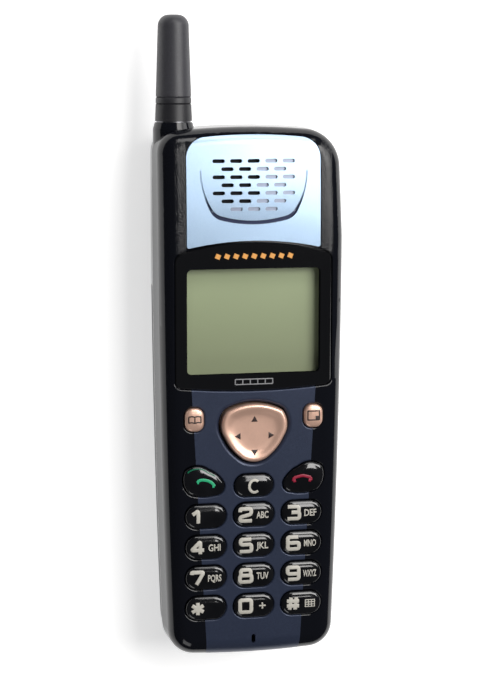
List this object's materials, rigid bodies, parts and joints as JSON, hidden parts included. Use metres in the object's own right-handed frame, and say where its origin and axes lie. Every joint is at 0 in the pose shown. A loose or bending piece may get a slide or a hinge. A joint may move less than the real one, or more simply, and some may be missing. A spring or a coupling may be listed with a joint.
{
  "type": "early mobile brick phone",
  "caption": "Slim bar mobile phone with a fixed antenna stub, earpiece plate, small display, four-way key, number keypad, sliding battery and its latch",
  "frame": {"origin": "plan centre of the case on the flat back of the battery, which the phone lies on", "axes": "+X to the right across the face, +Y along the phone towards the antenna, +Z out of the keypad face"},
  "size_m": [0.0478, 0.1631, 0.0263],
  "materials": {
    "case_black": "high-gloss black moulded plastic",
    "plate_blue": "satin steel-blue metallic lacquer",
    "lens_black": "clear acrylic with a black printed border",
    "lcd": "grey-green liquid crystal cell",
    "clear_plastic": "milky light guide",
    "inner_plastic": "dark moulded frame",
    "key_black": "gloss black key with printed legend",
    "key_gold": "rose-gold metallic lacquer",
    "mat_rubber": "translucent grey silicone",
    "black_rubber": "soft black rubber",
    "board_green": "solder-masked circuit board",
    "chip_black": "moulded chip packages",
    "bright_steel": "tinned or stainless sheet",
    "spring_steel": "spring wire",
    "screw_steel": "black zinc-plated steel",
    "gold_plate": "gold-plated contacts",
    "cell_can": "wrapped metal cell cans",
    "card_white": "blank white subscriber card",
    "woven_mesh": "fine woven dust mesh"
  },
  "bodies": {
    "handset": {"antenna_bushing": "gold_plate", "antenna_coil": "gold_plate", "antenna_contact": "gold_plate", "antenna_core": "inner_plastic", "antenna_ferrule": "gold_plate", "antenna_stub": "black_rubber", "backup_cell": "bright_steel", "battery_terminals": "inner_plastic", "board_chips": "chip_black", "buzzer": "inner_plastic", "case_screws": "screw_steel", "connector_pins": "gold_plate", "display_lens": "lens_black", "ear_speaker": "inner_plastic", "earpiece_mesh": "woven_mesh", "earpiece_plate": "plate_blue", "front_case": "case_black", "headset_jack": "inner_plastic", "jack_cover": "black_rubber", "keypad_mat": "mat_rubber", "latch_spring": "spring_steel", "lcd_glass": "lcd", "lcd_holder": "inner_plastic", "light_guide": "clear_plastic", "main_board": "board_green", "mic_boot": "black_rubber", "microphone": "bright_steel", "rear_case": "case_black", "shield_can_logic": "bright_steel", "shield_can_radio": "bright_steel", "sim_reader": "inner_plastic", "snap_domes": "bright_steel", "speaker_gasket": "black_rubber", "system_connector": "inner_plastic", "zebra_strip": "black_rubber"},
    "key_0": {"key_0": "key_black"},
    "key_1": {"key_1": "key_black"},
    "key_2": {"key_2": "key_black"},
    "key_3": {"key_3": "key_black"},
    "key_4": {"key_4": "key_black"},
    "key_5": {"key_5": "key_black"},
    "key_6": {"key_6": "key_black"},
    "key_7": {"key_7": "key_black"},
    "key_8": {"key_8": "key_black"},
    "key_9": {"key_9": "key_black"},
    "key_book": {"key_book": "key_gold"},
    "key_clear": {"key_clear": "key_black"},
    "key_end": {"key_end": "key_black"},
    "key_hash": {"key_hash": "key_black"},
    "key_memo": {"key_memo": "key_gold"},
    "key_send": {"key_send": "key_black"},
    "key_star": {"key_star": "key_black"},
    "nav_pivot": {"nav_pivot": "bright_steel"},
    "nav_key": {"nav_key": "key_gold"},
    "battery": {"battery_back": "case_black", "battery_cells": "cell_can", "battery_contacts": "gold_plate", "battery_lid": "inner_plastic"},
    "battery_latch": {"battery_latch": "case_black"},
    "sim_card": {"sim_card": "card_white"}
  },
  "joints": [
    {"name": "key_0_press", "type": "slide", "parent": "handset", "child": "key_0", "axis": [0, 0, -1], "range_m": [0, 0.0006], "stiffness_N_per_m": 400},
    {"name": "key_1_press", "type": "slide", "parent": "handset", "child": "key_1", "axis": [0, 0, -1], "range_m": [0, 0.0006], "stiffness_N_per_m": 400},
    {"name": "key_2_press", "type": "slide", "parent": "handset", "child": "key_2", "axis": [0, 0, -1], "range_m": [0, 0.0006], "stiffness_N_per_m": 400},
    {"name": "key_3_press", "type": "slide", "parent": "handset", "child": "key_3", "axis": [0, 0, -1], "range_m": [0, 0.0006], "stiffness_N_per_m": 400},
    {"name": "key_4_press", "type": "slide", "parent": "handset", "child": "key_4", "axis": [0, 0, -1], "range_m": [0, 0.0006], "stiffness_N_per_m": 400},
    {"name": "key_5_press", "type": "slide", "parent": "handset", "child": "key_5", "axis": [0, 0, -1], "range_m": [0, 0.0006], "stiffness_N_per_m": 400},
    {"name": "key_6_press", "type": "slide", "parent": "handset", "child": "key_6", "axis": [0, 0, -1], "range_m": [0, 0.0006], "stiffness_N_per_m": 400},
    {"name": "key_7_press", "type": "slide", "parent": "handset", "child": "key_7", "axis": [0, 0, -1], "range_m": [0, 0.0006], "stiffness_N_per_m": 400},
    {"name": "key_8_press", "type": "slide", "parent": "handset", "child": "key_8", "axis": [0, 0, -1], "range_m": [0, 0.0006], "stiffness_N_per_m": 400},
    {"name": "key_9_press", "type": "slide", "parent": "handset", "child": "key_9", "axis": [0, 0, -1], "range_m": [0, 0.0006], "stiffness_N_per_m": 400},
    {"name": "key_book_press", "type": "slide", "parent": "handset", "child": "key_book", "axis": [0, 0, -1], "range_m": [0, 0.0006], "stiffness_N_per_m": 400},
    {"name": "key_clear_press", "type": "slide", "parent": "handset", "child": "key_clear", "axis": [0, 0, -1], "range_m": [0, 0.0006], "stiffness_N_per_m": 400},
    {"name": "key_end_press", "type": "slide", "parent": "handset", "child": "key_end", "axis": [0, 0, -1], "range_m": [0, 0.0006], "stiffness_N_per_m": 400},
    {"name": "key_hash_press", "type": "slide", "parent": "handset", "child": "key_hash", "axis": [0, 0, -1], "range_m": [0, 0.0006], "stiffness_N_per_m": 400},
    {"name": "key_memo_press", "type": "slide", "parent": "handset", "child": "key_memo", "axis": [0, 0, -1], "range_m": [0, 0.0006], "stiffness_N_per_m": 400},
    {"name": "key_send_press", "type": "slide", "parent": "handset", "child": "key_send", "axis": [0, 0, -1], "range_m": [0, 0.0006], "stiffness_N_per_m": 400},
    {"name": "key_star_press", "type": "slide", "parent": "handset", "child": "key_star", "axis": [0, 0, -1], "range_m": [0, 0.0006], "stiffness_N_per_m": 400},
    {"name": "nav_tilt_updown", "type": "hinge", "parent": "handset", "child": "nav_pivot", "pos_m": [0, -0.0089, 0.0218], "axis": [1, 0, 0], "range_deg": [-2.5, 2.5], "stiffness_Nm_per_rad": 0.05},
    {"name": "nav_tilt_sideways", "type": "hinge", "parent": "nav_pivot", "child": "nav_key", "pos_m": [0, -0.0089, 0.0218], "axis": [0, 1, 0], "range_deg": [-2.5, 2.5], "stiffness_Nm_per_rad": 0.05},
    {"name": "battery_slide", "type": "slide", "parent": "handset", "child": "battery", "axis": [0, -1, 0], "range_m": [0, 0.008]},
    {"name": "battery_latch_slide", "type": "slide", "parent": "handset", "child": "battery_latch", "axis": [0, 1, 0], "range_m": [0, 0.0025], "stiffness_N_per_m": 250, "deforming": ["latch_spring"]},
    {"name": "sim_card_slide", "type": "slide", "parent": "handset", "child": "sim_card", "axis": [0, -1, 0], "range_m": [0, 0.008]}
  ]
}
